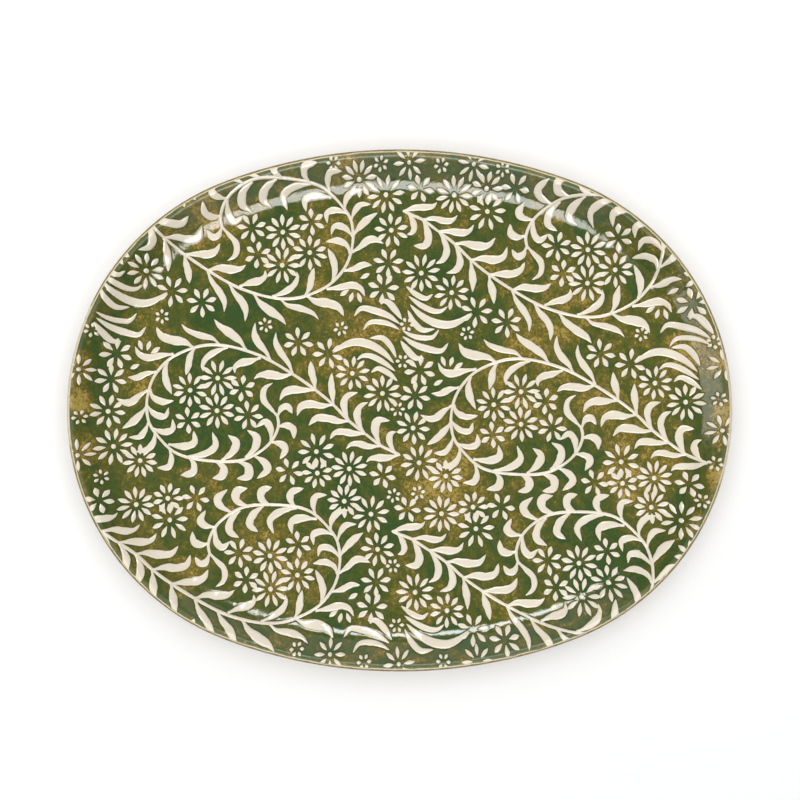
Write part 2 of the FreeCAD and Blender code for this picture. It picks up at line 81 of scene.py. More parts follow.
# Where the glaze on the lip turns as shiny as the rest, and where the lip's beige slip shows:
# place, reach along and across, strength
RIM_FADE_INSET = 6.5
BARE_STRETCHES = [(-206, 22, 30, 45, 1.0), (206, -10, 30, 40, 0.7)]

# The foot ring's eased edges, and the height up to which it is ground true, with the change above it
FOOT_EASE = 0.5
TRUE_HEIGHT = 3.6
TRUE_FADE = 3.0

# The raised pattern: its height and rounded shoulder, and the skirt of glaze that climbs to its edge
RELIEF = 0.34
UNEVEN_SHARE = 0.1
SHOULDER = 0.7
SKIRT = 1.4
SKIRT_TOP = 0.13
SKIRT_FOOT = -0.03
SKIRT_PAST_END = 0.9 * SKIRT
SKIRT_END_SHARE = 0.5
FADE = 1.2
LEAST_LIFT = 0.08
LEAST_SHOWING = 0.6

# Its lines and petals: widths, how far past the middle a leaf or petal is fullest, and how full it is
STEM_WIDTH = 1.55
STALK_SHARE = 0.5
LEAF_SKEW = 1.1
LEAF_FULLNESS = 0.85
LEAF_WOBBLE = 0.08
PLUME_FULLNESS = 0.7
PETAL_FULLNESS = 0.88
DAISY_PETAL = (2.6, 1.2)
STAR_PETAL = (2.9, 1.3)
LONE_PETAL = (2.6, 1.15)
BLOSSOM_PETAL = (1.75, 1.15)
RIM_STAR_PETAL = (2.05, 1.1)
DAISY_DOT_RADIUS = 1.4
RIM_STAR_DOT_RADIUS = 1.15

# How finely the meshes are divided: lengths in millimetres, then counts
STATION_STEP = 2.0
FLOOR_STEP = 4.0
WALL_STEP = 0.8
LIP_STEPS = 14
COAT_LIP_STEPS = 8
SPAN_STEPS = 12
VINE_STEPS = 220
LEAF_STEPS = 18
PLUME_STEPS = 22
PETAL_STEPS = 11
DOT_SIDES = 12

# The stamp, in its own frame. Its vine, from the cut end to the inside of the loop
VINE = [
    (-110, 29.3), (-105.5, 27.2), (-98, 24), (-87.5, 16.7), (-77.4, 9.3), (-67, -0.5), (-55, -9.6),
    (-40.6, -18.7), (-26.9, -26.1), (-16.2, -30.3), (-3.5, -33.4), (8, -34.3), (19.5, -32.3), (33, -25.7),
    (41, -17.8), (46, -8.8), (48.2, 2), (47.9, 11), (45.3, 19.2), (38, 28.3), (30, 35), (20, 38.4),
    (6, 39.6), (-8, 39), (-17.5, 35.8), (-26.5, 29.3), (-31.8, 22), (-34, 14.5), (-33, 8.5),
]

# Its leaves: greatest width, then the midrib from the stalk to the tip
LEAVES = [
    (4.2, [(-110, 29), (-103, 31.4), (-97, 31.8), (-92, 32.6), (-89.7, 35)]),
    (3.9, [(-98, 24.1), (-91, 25), (-84.5, 23.6), (-79.6, 24.2), (-76.7, 27.2)]),
    (4.3, [(-88, 16.9), (-80.5, 17.2), (-73.8, 16.5), (-69, 17.6), (-66.4, 21.5)]),
    (4.9, [(-77.2, 9.4), (-71.5, 10), (-64.8, 8.6), (-57.2, 8.8), (-52.8, 13.6)]),
    (4.9, [(-67, -0.4), (-60, 0.8), (-53.5, 0), (-47.4, 1.8), (-45.2, 8)]),
    (4.8, [(-55, -9.2), (-47.5, -8.6), (-41, -8.4), (-36.4, -6), (-34, -1.2)]),
    (4.9, [(-41, -18.6), (-34.5, -16.6), (-27, -17.3), (-20.7, -16.6), (-17.4, -14)]),
    (4.4, [(-20.5, -27.6), (-14.5, -25.2), (-8.5, -23.6), (-5.2, -20.8), (-5.3, -17)]),
    (3.8, [(0, -33.2), (7, -30.2), (12.6, -26), (15, -21), (14.4, -17.1)]),
    (4.2, [(20.6, -31.4), (23, -26), (23.8, -20), (25, -14.2)]),
    (4.3, [(36.8, -22), (38, -15.5), (36.8, -9), (33.1, -1.5)]),
    (3.9, [(-106.8, 27.6), (-104, 23), (-103, 18.6), (-104.3, 15.8), (-107.2, 14.6)]),
    (5.0, [(-97.6, 23.8), (-94.9, 17.5), (-93.9, 12), (-96.2, 7.8), (-102.8, 7.8)]),
    (4.2, [(-87, 16.3), (-83.4, 9.6), (-82.3, 4.6), (-84.2, -0.4), (-88.7, -3.1)]),
    (4.2, [(-77.2, 9), (-74.7, 3), (-73.8, -2.4), (-76.2, -6.8), (-82, -8.9)]),
    (4.2, [(-67.2, -0.8), (-66.5, -6), (-65.4, -13), (-65.3, -20.2)]),
    (4.4, [(-55.4, -9.8), (-54.8, -14), (-52.9, -20), (-51.8, -27.2)]),
    (4.0, [(-40.9, -19), (-38.2, -25), (-32.8, -32), (-29.6, -38), (-29.4, -44.2)]),
    (4.3, [(-26.9, -26.3), (-24.2, -31.2), (-18.6, -37.4), (-16.1, -43), (-16.2, -49.4)]),
    (5.0, [(-11.5, -32), (-7.5, -37.4), (-0.5, -42.6), (5.6, -46.4), (9.2, -50.4)]),
    (3.7, [(5.2, -34.4), (9.5, -38.2), (18, -39.9), (25.5, -42.6), (29.3, -46.2)]),
    (5.6, [(21.2, -31.8), (27, -35), (35, -35.9), (41.4, -38.2), (44.8, -43.4)]),
    (4.4, [(33.6, -27), (41, -25.7), (49, -23.8), (54.6, -25.8), (57.3, -30.4)]),
    (3.9, [(43.8, -15), (49.5, -13.7), (55.5, -10.7), (60.8, -10.8)]),
    (4.4, [(48.2, -3.2), (53, 0.4), (57.6, 4.7), (62, 5.4), (67.2, 3.2)]),
    (4.4, [(48.3, 7.4), (52, 12.6), (56.6, 17.6), (62.6, 22)]),
    (3.5, [(46.6, 17.4), (48.8, 23), (52, 26.8), (58.3, 27.4)]),
    (3.9, [(42.2, 23.6), (43, 30), (46.8, 34.6), (53.4, 36.4)]),
    (3.9, [(32.4, 34), (31.2, 40), (33, 45), (39.7, 45.8)]),
    (4.6, [(20, 38.4), (17, 42.6), (17.8, 47.6), (25, 49.8)]),
    (5.0, [(4, 39.4), (-1.2, 43.2), (-0.6, 48.6), (5.3, 50.6)]),
    (5.2, [(-10, 38.9), (-16.4, 42), (-16.6, 48), (-9.9, 50)]),
    (4.6, [(-19.5, 34.6), (-26.6, 38.8), (-28.4, 43.6), (-22.4, 49.2)]),
    (4.5, [(-30, 25.4), (-36.4, 26.6), (-39, 30), (-36, 36)]),
    (4.5, [(-33.8, 15.4), (-39, 14.4), (-43.2, 16.6), (-44, 22.6)]),
    (4.2, [(-33.4, 8), (-35.6, 3.4), (-39.2, 2.6), (-42.2, 6.6)]),
    (3.7, [(-33.2, 9), (-28.6, 4.2), (-24.4, -0.2), (-23.4, -5), (-24.8, -9), (-29, -12)]),
    (3.9, [(46.8, -4), (44.8, 0.8), (40, 3.4), (36.4, 3.6), (31.6, 2.6)]),
    (3.8, [(48.4, 6.4), (42.6, 12), (36.4, 12.6), (34.6, 7.2)]),
    (3.9, [(44, 21), (36.8, 22.8), (31.4, 20.6), (31.8, 14.4)]),
    (4.8, [(33.4, 30.6), (24, 31.2), (17.6, 28.4), (18.3, 21.2)]),
    (4.4, [(20.8, 37.6), (10.6, 35.2), (4.3, 29.6), (6.7, 21.3)]),
    (4.9, [(0, 38.8), (-6.2, 33.4), (-8.3, 27), (-3.1, 22.6)]),
    (4.7, [(-14.6, 36), (-20, 30), (-20.8, 23), (-14.8, 18.8)]),
    (4.2, [(-29.8, 25), (-29.2, 17), (-25.4, 12.8), (-20.2, 16.6)]),
]

# Its plume leaves, which stand clear of the vine
PLUMES = [
    (4.0, [(66, -33.2), (71.6, -33.4), (76.6, -38.2), (81, -44)]),
    (4.0, [(51.4, -43.2), (55.4, -38.2), (62.5, -38.9), (72, -41.8), (79.7, -46.7)]),
    (3.0, [(57.4, -51.6), (61.2, -46.8), (68, -46.2), (74.4, -47.6), (79.7, -50.4)]),
    (3.3, [(-106.3, -17.6), (-100.4, -22.2), (-94, -24.9), (-89.8, -22.2)]),
    (3.4, [(-104.5, -23.8), (-97, -29), (-89.4, -32.4), (-84, -32.4), (-80.4, -29.6)]),
    (4.8, [(-103.5, -28.8), (-97, -35), (-88.6, -39.6), (-79.6, -41), (-72, -38.4), (-65.4, -33.4)]),
    (3.5, [(-104.7, -32.4), (-101, -39.4), (-95.4, -44.4), (-87.8, -43.9)]),
]

# Its daisies: centre, petals, inner and outer ends of a petal, and the first petal's direction
DAISIES = [
    (-79.2, 39.8, 11, 3.9, 11.1, 30),
    (-59.6, 43.6, 9, 3.6, 9.8, 0),
    (-58.3, 30.0, 9, 4.4, 11.8, 6),
    (50.6, 41.8, 11, 3.9, 10.8, 12),
    (67.4, 33.7, 10, 4.4, 11.4, 10),
    (71.8, 11.6, 9, 3.9, 10.8, 18),
    (4.6, 7.5, 10, 3.9, 11.4, 24),
    (21.9, -4.6, 10, 4.2, 10.8, 21),
    (5.2, -13.3, 10, 3.9, 11.4, 2),
    (-97.4, -9.2, 11, 4.4, 11.6, 12),
    (-78.1, -20.9, 10, 4.2, 10.6, 13),
]

# Its stars, which have no middle dot
STARS = [
    (-100.2, 43.0, 6, 2.2, 8.4, 51),
    (-42.1, 43.6, 6, 2.6, 8.6, 50),
    (-14.8, 9.3, 7, 2.6, 9.1, 21),
    (22.1, 14.7, 6, 2.2, 8.4, 37),
    (-10.3, -7.6, 6, 2.4, 8.6, 27),
    (71.0, -9.0, 7, 2.6, 9.4, 13),
    (68.5, -25.3, 7, 2.9, 10.1, 10),
    (-62.4, -32.7, 7, 2.9, 9.6, 6),
    (-43.6, -38.7, 7, 2.6, 9.4, 18),
]

# Single petals that show beside the leaves: centre, inner and outer ends, direction
LONE_PETALS = [
    (51, -24, 4.6, 11.3, -143),
    (51, -24, 4.6, 10.8, -105),
    (51, -24, 4.8, 11.4, -68),
    (53.4, -19.8, 0.8, 7.2, 30),
]

# Where the stamp was pressed: centre, turn, stretch along and across, and lean
IMPRESSIONS = [
    (-86.2, -98.9, 0.0, 1.007, 1.001, 0.011),
    (108.5, -103.6, 0.9, 1.017, 1.005, -0.023),
    (-78.4, 104.9, -2.5, 1.013, 1.002, 0.004),
    (113.5, 93.6, -1.2, 1.021, 1.011, 0.022),
    (-109.8, 7.0, 176.9, 1.014, 0.989, -0.002),
    (81.3, -1.4, 178.6, 1.010, 0.984, 0.003),
]

# Small six-petalled blossoms that fill the gaps: centre and the first petal's direction
BLOSSOMS = [
    (-40.9, 153.2, 0), (-11.6, 153.3, 20), (25.9, 152.3, 10), (63.9, 149.7, 30), (-190.9, 50.0, 15),
    (-149.4, 59.2, 31), (-84.3, 53.7, 38), (-36.9, 51.5, 11), (4.6, 54.1, 56), (42.5, 48.6, 13),
    (152.2, 48.1, 20), (195.0, 42.4, 42), (2.0, 30.9, 59), (-1.2, 0.8, 60), (-198.6, -4.1, 10),
    (198.5, 7.0, 45), (196.0, -32.9, 45), (-186.2, -41.5, 38), (188.0, -56.3, 52), (-3.8, -53.4, 19),
    (11.7, -51.7, 12), (-4.2, -97.7, 4), (-1.8, -135.1, 2), (-63.7, -148.1, 4), (-22.1, -155.9, 5),
    (27.2, -155.6, 58),
]
# Petals, and the inner and outer ends of a petal
BLOSSOM_RING = (6, 1.8, 4.6)

# Eight-petalled stars with a dot, along the lip: centre and the first petal's direction
RIM_STARS = [
    (-43.1, -151.4, 0), (-0.5, -157.1, 7), (48.4, -155.2, 4), (6.0, 154.0, 6), (46.0, 152.6, 31),
    (-198.8, 25.5, 0), (-199.3, -27.7, 3), (201.0, 28.0, 12), (200.1, -12.4, 13),
]
RIM_STAR_RING = (8, 3.2, 9.8)

# Where the glaze ran thin and ochre (positive) or pooled deep green (negative): place, spread, strength
GLAZE_PATCHES = [
    (-199, 30, 6, 2.0), (-199, 5, 5, 2.2), (201, 0, 4, 2.0), (200, 30, 4, 2.0), (196, -40, 5, 1.8),
    (-160, 12, 7, 1.2),
    (182, 36, 10, 1.3), (145, -8, 24, 0.9), (85, 18, 26, 0.6), (20, -45, 17, 0.9),
    (45, -30, 20, 0.5), (-28, 53, 17, 0.8), (-55, 27, 12, 0.7), (-110, 107, 17, 0.8), (-40, 108, 10, 0.5),
    (75, 105, 12, 0.6), (30, 125, 13, 0.4), (-35, 151, 7, 1.0), (110, 65, 16, 0.7), (-75, -112, 11, 0.8),
    (-65, -92, 9, 0.6), (-132, -100, 8, 0.9), (5, -118, 9, 0.6), (28, -125, 7, 1.0), (60, -120, 9, 0.4),
    (-85, -70, 11, 0.5), (-122, -43, 11, 0.5), (-148, 70, 9, 0.6), (-196, -25, 9, 0.7), (-160, -85, 9, 0.5),
    (150, -30, 12, 0.5), (135, -45, 9, 0.5), (-10, -15, 9, 0.5), (170, 70, 16, 0.4), (0, 75, 15, 0.4),
    (-105, 60, 24, -0.8), (-120, 0, 22, -0.7), (-160, -15, 14, -0.7), (-50, -35, 15, -0.6),
    (110, -20, 15, -0.8), (120, -70, 17, -0.5), (-20, -60, 13, -0.7), (20, 85, 15, -0.5), (60, 110, 9, -0.5),
    (150, 80, 9, -0.5), (120, -95, 14, -0.7), (28, -140, 9, -0.9), (150, -115, 18, -0.6),
    (-130, 75, 11, -0.6), (0, 0, 15, -0.5), (60, -50, 9, -0.6), (-20, -100, 12, -0.5),
    (-190, 40, 12, -0.5),
]


def inset_of(x, y):
    """Distance in plan from the rim, inwards."""
    x, y = np.abs(x), np.abs(y)
    at_end = (x - END_CENTRE_X) * SIDE_CENTRE_Y > y * END_CENTRE_X
    end = END_RADIUS - np.hypot(x - END_CENTRE_X, y)
    side = SIDE_RADIUS - np.hypot(x, y + SIDE_CENTRE_Y)
    return np.where(at_end, end, side)


def outward(x, y):
    """Unit vectors in plan that point square out through the rim."""
    across_x, across_y = np.abs(x), np.abs(y)
    at_end = (across_x - END_CENTRE_X) * SIDE_CENTRE_Y > across_y * END_CENTRE_X
    u = np.where(at_end, across_x - END_CENTRE_X, across_x)
    v = np.where(at_end, across_y, across_y + SIDE_CENTRE_Y)
    length = np.maximum(np.hypot(u, v), TINY)
    return np.sign(x) * u / length, np.sign(y) * v / length


def lip_point(offset, along):
    """(inset, height) by the lip's centre: square to the wall by offset, and out along it."""
    return (
        HALF + offset * math.sin(SLOPE) - along * math.cos(SLOPE),
        HEIGHT - HALF + offset * math.cos(SLOPE) + along * math.sin(SLOPE),
    )


def lip_arc(radius, start, end, steps):
    """Points on a circle about the lip's centre, turned outwards from the wall's upper face."""
    turns = [start + (end - start) * i / steps for i in range(steps + 1)]
    return [lip_point(radius * math.cos(a), radius * math.sin(a)) for a in turns]


def skin(offset, inner, step):
    """The section, (inset, height), of the surface at this offset from mid-thickness, down to an inset."""
    radius = MIDDLE_RADIUS - offset
    top = lip_point(offset, 0)
    centre = (COVE_FOOT, FLOOR_MIDDLE + MIDDLE_RADIUS)
    count = max(2, round(radius * SLOPE / step))
    turns = [SLOPE * (1 - i / count) for i in range(count + 1)]
    cove = [(centre[0] - radius * math.sin(a), centre[1] - radius * math.cos(a)) for a in turns]
    count = max(2, round(math.dist(top, cove[0]) / step))
    wall = [tuple(top[k] + (cove[0][k] - top[k]) * i / count for k in (0, 1)) for i in range(count)]
    return [*wall, *cove, (inner, FLOOR_MIDDLE + offset)]


def top_height(inset):
    """Height of the upper surface at an inset, and how steeply it rises outwards."""
    run = np.clip(COVE_FOOT - inset, 0, COVE_RADIUS * math.sin(SLOPE))
    height = FLOOR_TOP + COVE_RADIUS - np.sqrt(COVE_RADIUS**2 - run**2)
    rise = run / np.sqrt(COVE_RADIUS**2 - run**2)
    wall = np.maximum(COVE_FOOT - COVE_RADIUS * math.sin(SLOPE) - inset, 0)
    height = height + wall * math.tan(SLOPE)
    steepest = 0.95 * HALF
    over = np.clip(inset - HALF, -steepest, steepest)
    level = np.sqrt(HALF**2 - over**2)
    past_wall = inset < lip_point(HALF, 0)[0]
    height = np.where(past_wall, HEIGHT - HALF + level, height)
    return height, np.where(past_wall, over / level, rise)


def sway(x, y):
    """The slight unevenness of a hand-pressed slab, in millimetres of height: three slow waves."""
    return (
        0.13 * np.sin(x / 23.0 + 1.3) * np.cos(y / 29.0 + 0.4)
        + 0.11 * np.sin((x + 0.6 * y) / 11.0 + 2.1)
        + 0.07 * np.sin((0.5 * x - y) / 7.0)
    )


def place_on_top(points, lift):
    """Points in plan laid on the upper surface and raised square to it. Those past the lip stop at it."""
    x, y = points[:, 0], points[:, 1]
    inset = inset_of(x, y)
    out_x, out_y = outward(x, y)
    back = np.maximum(LIP_INSET - inset, 0)
    x, y = x - out_x * back, y - out_y * back
    inset = np.maximum(inset, LIP_INSET)
    height, rise = top_height(inset)
    lift = lift * np.clip((inset - LIP_INSET) / FADE + LEAST_LIFT, 0, 1)
    tall = np.hypot(1, rise)
    return np.stack(
        [
            x - out_x * rise / tall * lift,
            y - out_y * rise / tall * lift,
            height + sway(x, y) + lift / tall,
        ],
        axis=1,
    )


def thinness(x, y):
    """How thin the green glaze lies: above 0 it breaks to ochre, below 0 it pools deep green."""
    total = np.zeros_like(x)
    for px, py, spread, strength in GLAZE_PATCHES:
        total += strength * np.exp(-((x - px) ** 2 + (y - py) ** 2) / (2 * spread**2))
    return total


def bareness(x, y):
    """How much of the lip's glaze has run off the beige slip under it."""
    total = np.zeros_like(x)
    for px, py, reach_x, reach_y, strength in BARE_STRETCHES:
        total += strength * np.exp(-(((x - px) / reach_x) ** 2) - ((y - py) / reach_y) ** 2)
    return total


def near_rim(x, y):
    """1 on the lip, where the glaze ran thin and is less shiny, falling to 0 on the wall."""
    return np.clip((RIM_FADE_INSET - inset_of(x, y)) / (RIM_FADE_INSET - LIP_INSET), 0, 1)


def mesh_object(name, vertices, faces, attributes, material, node):
    """A smooth mesh object in metres that rides on the platter and stands for its CAD node."""
    mesh = bpy.data.meshes.new(name)
    mesh.from_pydata((np.asarray(vertices) * MM).tolist(), [], faces)
    for key, values in attributes.items():
        mesh.attributes.new(key, "FLOAT", "POINT").data.foreach_set(
            "value", np.asarray(values, dtype=np.float32)
        )
    same_place = 0.002 * MM
    tidy = bmesh.new()
    tidy.from_mesh(mesh)
    bmesh.ops.remove_doubles(tidy, verts=tidy.verts, dist=same_place)
    bmesh.ops.dissolve_degenerate(tidy, dist=same_place, edges=tidy.edges)
    tidy.to_mesh(mesh)
    tidy.free()
    mesh.shade_smooth()
    mesh.materials.append(material)
    thing = bpy.data.objects.new(name, mesh)
    bpy.context.scene.collection.objects.link(thing)
    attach(thing, "root")
    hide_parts(node)


# Sweeps round the oval


def stations():
    """(centre x, centre y, radius, direction) of each station round the oval, anticlockwise."""
    side = 2 * SIDE_HALF_ANGLE
    end = math.pi - side
    arcs = [
        (END_CENTRE_X, 0.0, END_RADIUS, 0.0, end),
        (0.0, -SIDE_CENTRE_Y, SIDE_RADIUS, math.pi / 2, side),
        (-END_CENTRE_X, 0.0, END_RADIUS, math.pi, end),
        (0.0, SIDE_CENTRE_Y, SIDE_RADIUS, 3 * math.pi / 2, side),
    ]
    out = []
    for x, y, radius, facing, sweep in arcs:
        count = round(radius * sweep / STATION_STEP)
        out += [(x, y, radius, facing - sweep / 2 + sweep * i / count) for i in range(count)]
    return np.array(out)


def swept(section, closed):
    """Vertices and faces of a section, (inset, height), taken round the oval.

    An inset deeper than the spine, the line between the two ends' centres, stops there.
    """
    ring = stations()
    count, deep = len(ring), len(section)
    cx, cy, radius, angle = ring.T
    past_spine = np.abs(cy) / np.maximum(np.abs(np.sin(angle)), TINY)
    to_spine = np.where(np.abs(cy) > TINY, radius - past_spine, radius)
    vertices = []
    for inset, height in section:
        reach = radius - np.minimum(inset, to_spine)
        x = cx + reach * np.cos(angle)
        y = cy + reach * np.sin(angle)
        vertices.append(np.stack([x, y, np.full(count, height)], axis=1))
    vertices = np.stack(vertices, axis=1).reshape(-1, 3)
    faces = []
    for i in range(count):
        after = (i + 1) % count
        for j in range(deep if closed else deep - 1):
            k = (j + 1) % deep
            faces.append((i * deep + j, after * deep + j, after * deep + k, i * deep + k))
    return vertices, faces


def green_top(material):
    """The green glaze coat: its upper surface down to the platter's middle, and its own underside."""
    under, foot_inset = HALF - GLAZE, FOOT_OUTER_INSET
    top = lip_arc(HALF, LIP_TURN, 0, COAT_LIP_STEPS)[:-1] + skin(HALF, foot_inset, WALL_STEP)
    top += [(inset, FLOOR_TOP) for inset in np.arange(foot_inset + FLOOR_STEP, WIDTH / 2, FLOOR_STEP)]
    below = lip_arc(under, LIP_TURN, 0, COAT_LIP_STEPS // 2)[:-1] + skin(under, foot_inset, 4 * WALL_STEP)
    section = [(WIDTH, FLOOR_TOP), *top[::-1], *below, (WIDTH, FLOOR_TOP - GLAZE)]
    vertices, faces = swept(section, closed=False)
    x, y = vertices[:, 0], vertices[:, 1]
    vertices[:, 2] += sway(x, y)
    attributes = {"thin": thinness(x, y), "rim": near_rim(x, y)}
    mesh_object("green_glaze_coat", vertices, faces, attributes, material, "green_glaze")


def lip(material):
    """The glazed lip: a rounded bead between the upper and the lower coats."""
    outer = lip_arc(HALF, LIP_TURN, math.pi, LIP_STEPS)
    inner = lip_arc(HALF - GLAZE, math.pi, LIP_TURN, LIP_STEPS)
    vertices, faces = swept(outer + inner, closed=True)
    once = [*np.linspace(0, 1, LIP_STEPS + 1), *np.linspace(1, 0, LIP_STEPS + 1)]
    around = np.tile(once, len(stations()))
    x, y = vertices[:, 0], vertices[:, 1]
    vertices[:, 2] += sway(x, y)
    attributes = {"around": around, "thin": thinness(x, y), "bare": bareness(x, y), "rim": near_rim(x, y)}
    mesh_object("brown_lip", vertices, faces, attributes, material, "rim_glaze")


def underside(material):
    """The glaze on the outside of the wall, as far as the foot ring."""
    outside = skin(-HALF, FOOT_OUTER_INSET, 2 * WALL_STEP)
    inside = skin(GLAZE - HALF, FOOT_OUTER_INSET, 4 * WALL_STEP)
    vertices, faces = swept([*outside[::-1], *inside], closed=True)
    share = np.clip((vertices[:, 2] - TRUE_HEIGHT) / TRUE_FADE, 0, 1)
    vertices[:, 2] += sway(vertices[:, 0], vertices[:, 1]) * share
    mesh_object("outside_wall_glaze", vertices, faces, {}, material, "underside_glaze")


def foot(material):
    """The bare foot ring, with its ground edges slightly rounded."""
    outer, inner = FOOT_OUTER_INSET, FOOT_OUTER_INSET + FOOT_WIDTH
    top = FLOOR_MIDDLE - HALF + GLAZE
    section = [(outer, top), (inner, top)]
    for corner, side in ((inner - FOOT_DRAFT, -1), (outer + FOOT_DRAFT, 1)):
        for turn in [math.radians(a) for a in (0, 30, 60, 90)][::-side]:
            inwards = side * FOOT_EASE * (1 - math.sin(turn))
            section.append((corner + inwards, FOOT_EASE * (1 - math.cos(turn))))
    vertices, faces = swept(section, closed=True)
    mesh_object("bare_foot_ring", vertices, faces, {}, material, "foot_ring")


# Motifs: each is a ribbon about its midline, with a rounded shoulder and a thin skirt of pooled glaze.
# A ribbon's columns stand at these distances outside its edge, then inside it, the last on its midline.

OUTSIDE_STEPS = (SKIRT, 0.65, 0.22)
INSIDE_STEPS = (0.0, 0.2, SHOULDER, math.inf)


def skirt_lift(edge):
    """Height of the glaze that climbs towards a motif, at this distance from its edge."""
    return SKIRT_FOOT + (SKIRT_TOP - SKIRT_FOOT) * (1 - np.clip(edge / SKIRT, 0, 1)) ** 2


def shoulder_rise(inside):
    """Share of a motif's height that it has at this distance inside its edge."""
    return np.sqrt(1 - (1 - np.minimum(inside / SHOULDER, 1)) ** 2)


def past_end(end, before):
    """The point where the skirt stops, past the end of a midline."""
    step = end - before
    return end + step * (SKIRT_PAST_END / max(np.hypot(*step), TINY))


class Motifs:
    """Gathers the ribbons of one kind of motif into one mesh."""

    def __init__(self):
        self.points, self.lifts, self.edges, self.faces = [], [], [], []
        self.total = 0
        self.made = 0

    def gather(self, points, edges, lifts, faces):
        """Adds points in plan, with their distance from the edge and their lift, and their faces."""
        self.points.append(points)
        self.edges.append(edges)
        self.lifts.append(lifts)
        self.faces += [tuple(self.total + corner for corner in face) for face in faces]
        self.total += len(points)

    def next_height(self):
        """The next motif's height: each differs a little from the one before."""
        golden_share = self.made * 0.618 % 1.0
        return RELIEF * (1 - UNEVEN_SHARE + UNEVEN_SHARE * golden_share)

    def add(self, midline, half_widths):
        """One ribbon: midline points, half the width at each, and a skirt that goes round its ends."""
        midline = np.asarray(midline, float)
        line = np.vstack([past_end(midline[0], midline[1]), midline, past_end(midline[-1], midline[-2])])
        along = np.gradient(line, axis=0)
        along /= np.maximum(np.hypot(along[:, 0], along[:, 1]), TINY)[:, None]
        left = np.stack([-along[:, 1], along[:, 0]], axis=1)
        body = np.concatenate([[0.0], half_widths, [0.0]])
        beyond = np.zeros(len(line), bool)
        beyond[[0, -1]] = True
        height = self.next_height()
        sides = []
        for out in OUTSIDE_STEPS:
            edge = np.where(beyond, SKIRT, out)
            sides.append((np.where(beyond, out * SKIRT_END_SHARE, body + out), edge, skirt_lift(edge)))
        for deep in INSIDE_STEPS:
            inside = np.minimum(body, deep)
            lift = SKIRT_TOP + height * shoulder_rise(inside)
            edge = np.where(beyond, SKIRT, -inside)
            sides.append((np.maximum(body - deep, 0), edge, np.where(beyond, SKIRT_FOOT, lift)))
        columns = [(*side, 1) for side in sides] + [(*side, -1) for side in sides[-2::-1]]
        wide = len(columns)
        grid = np.stack([line + left * (reach * sign)[:, None] for reach, _, _, sign in columns], axis=1)
        inset = inset_of(grid[..., 0], grid[..., 1])
        if inset.max() < LIP_INSET + LEAST_SHOWING:
            return
        faces = []
        for i in range(len(line) - 1):
            for j in range(wide - 1):
                corners = ((i + 1, j), (i + 1, j + 1), (i, j + 1), (i, j))
                if max(inset[corner] for corner in corners) > LIP_INSET:
                    faces.append([row * wide + column for row, column in corners])
        edges = np.stack([edge for _, edge, _, _ in columns], axis=1)
        lifts = np.stack([lift for _, _, lift, _ in columns], axis=1)
        self.gather(grid.reshape(-1, 2), edges.reshape(-1), lifts.reshape(-1), faces)
        self.made += 1

    def dot(self, centre, radius):
        """A round raised dot with its skirt."""
        if inset_of(*centre) < LIP_INSET + radius:
            return
        rings = [(radius + out, out) for out in OUTSIDE_STEPS]
        rings += [(max(radius - deep, 0.0), -min(radius, deep)) for deep in INSIDE_STEPS]
        turns = 2 * math.pi * np.arange(DOT_SIDES) / DOT_SIDES
        circle = np.stack([np.cos(turns), np.sin(turns)], axis=1)
        points = np.concatenate([np.asarray(centre) + reach * circle for reach, _ in rings])
        edges = np.repeat([edge for _, edge in rings], DOT_SIDES)
        lifts = skirt_lift(edges) + RELIEF * shoulder_rise(np.maximum(-edges, 0))
        faces = []
        for ring in range(0, (len(rings) - 1) * DOT_SIDES, DOT_SIDES):
            for j in range(DOT_SIDES):
                k = (j + 1) % DOT_SIDES
                faces.append([ring + j, ring + k, ring + DOT_SIDES + k, ring + DOT_SIDES + j])
        self.gather(points, edges, lifts, faces)

    def finish(self, name, material):
        """Lays the gathered motifs on the platter as one piece."""
        plan = np.concatenate(self.points)
        vertices = place_on_top(plan, np.concatenate(self.lifts))
        attributes = {
            "edge": np.concatenate(self.edges),
            "thin": thinness(plan[:, 0], plan[:, 1]),
            "rim": near_rim(plan[:, 0], plan[:, 1]),
        }
        mesh_object(f"raised_{name}", vertices, self.faces, attributes, material, name)


def smooth_line(points, count):
    """Evenly spaced points on a smooth curve through the given ones."""
    points = np.asarray(points, float)
    before = 2 * points[0] - points[1]
    after = 2 * points[-1] - points[-2]
    p = np.vstack([before, points, after])
    u = np.linspace(0, 1, SPAN_STEPS, endpoint=False)[:, None]
    fine = []
    for a, b, c, d in zip(p, p[1:], p[2:], p[3:]):
        bend, twist = 2 * a - 5 * b + 4 * c - d, 3 * b - a - 3 * c + d
        fine.append(0.5 * (2 * b + (c - a) * u + bend * u**2 + twist * u**3))
    fine = np.vstack([*fine, points[-1:]])
    gone = np.concatenate([[0], np.cumsum(np.hypot(*np.diff(fine, axis=0).T))])
    want = np.linspace(0, gone[-1], count)
    return np.stack([np.interp(want, gone, fine[:, k]) for k in (0, 1)], axis=1)


def pressed(impression):
    """The map from the stamp's frame to the platter's for one impression."""
    x, y, turn, along, across, lean = impression
    cos, sin = math.cos(math.radians(turn)), math.sin(math.radians(turn))

    def put(points):
        points = np.atleast_2d(np.asarray(points, float))
        u = along * points[:, 0] + lean * points[:, 1]
        v = across * points[:, 1]
        return np.stack([x + cos * u - sin * v, y + sin * u + cos * v], axis=1)

    return put


def unpressed(points):
    """The map for motifs that are placed straight on the platter."""
    return np.atleast_2d(np.asarray(points, float))


def stem_halves(shares):
    """Half a stem's width along it, a little uneven."""
    return STEM_WIDTH / 2 * (1 + 0.06 * np.sin(60 * shares) + 0.05 * np.sin(141 * shares))


